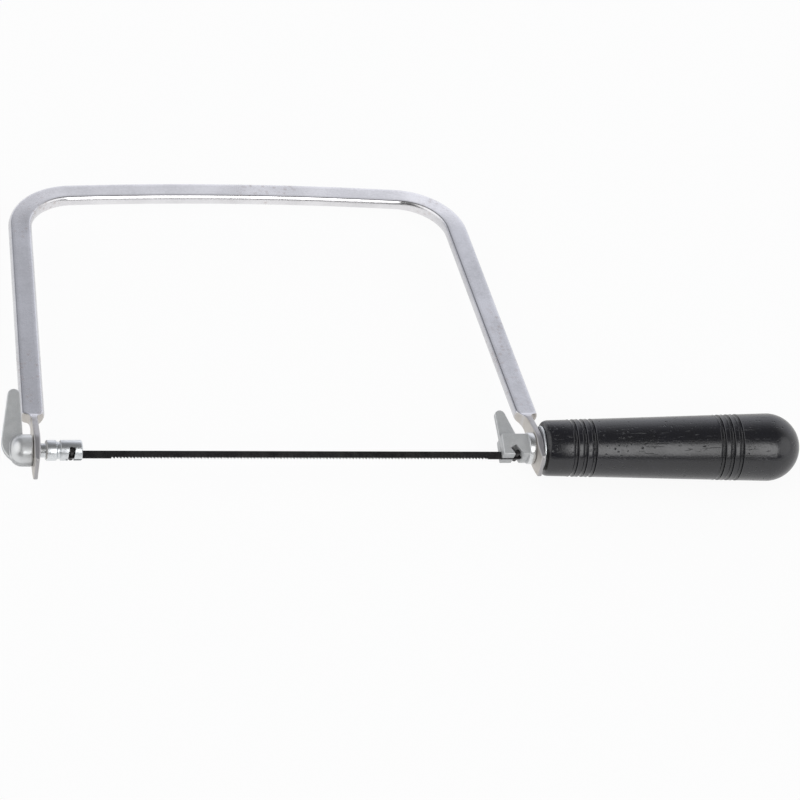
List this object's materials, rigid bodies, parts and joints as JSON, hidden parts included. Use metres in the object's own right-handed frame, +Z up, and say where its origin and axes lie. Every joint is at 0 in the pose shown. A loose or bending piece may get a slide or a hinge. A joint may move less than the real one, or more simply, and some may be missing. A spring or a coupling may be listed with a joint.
{
  "type": "coping saw",
  "caption": "Coping saw: a deep bow frame of bright bar holds a pinned blade between turning lever holders, and a turned black wooden handle screws on to draw the blade tight.",
  "frame": {"origin": "on the floor, under the middle of the saw's box, with the saw lying on its side", "axes": "+X along the blade from the front holder to the handle, +Y from the blade to the top bar, +Z up, square to the frame"},
  "size_m": [0.295, 0.1644, 0.025],
  "materials": {
    "plated_bar": "bright plated flat bar, slightly dulled",
    "turned_steel": "turned and plated, bright",
    "zinc_casting": null,
    "blade_steel": "blackened spring steel, dull",
    "brass": "turned",
    "black_wood": "satin black lacquer over turned wood"
  },
  "bodies": {
    "frame": {"frame": "plated_bar"},
    "blade_holder": {"front_spigot": "turned_steel", "front_lever": "zinc_casting", "blade": "blade_steel", "front_blade_pin": "blade_steel", "rear_blade_pin": "blade_steel"},
    "rear_holder": {"rear_spigot": "zinc_casting", "tension_screw": "turned_steel"},
    "washer": {"thrust_washer": "turned_steel"},
    "handle": {"handle": "black_wood", "handle_insert": "brass"}
  },
  "joints": [
    {"name": "blade_turn", "type": "hinge", "parent": "frame", "child": "blade_holder", "pos_m": [-0.13551, -0.06975, 0.0125], "axis": [1, 0, 0], "continuous": true},
    {"name": "rear_holder_turn", "type": "hinge", "parent": "frame", "child": "rear_holder", "pos_m": [0.04695, -0.06975, 0.0125], "axis": [1, 0, 0], "continuous": true},
    {"name": "washer_slide", "type": "slide", "parent": "frame", "child": "washer", "axis": [1, 0, 0], "range_m": [0, 0.0101]},
    {"name": "handle_turn", "type": "hinge", "parent": "washer", "child": "handle", "pos_m": [0.04902, -0.06975, 0.0125], "axis": [1, 0, 0], "range_deg": [0, 3600]}
  ],
  "couplings": [
    {"joint": "rear_holder_turn", "follows": "blade_turn", "ratio": 1},
    {"joint": "washer_slide", "follows": "handle_turn", "m_per_rad": 0.00015915}
  ]
}
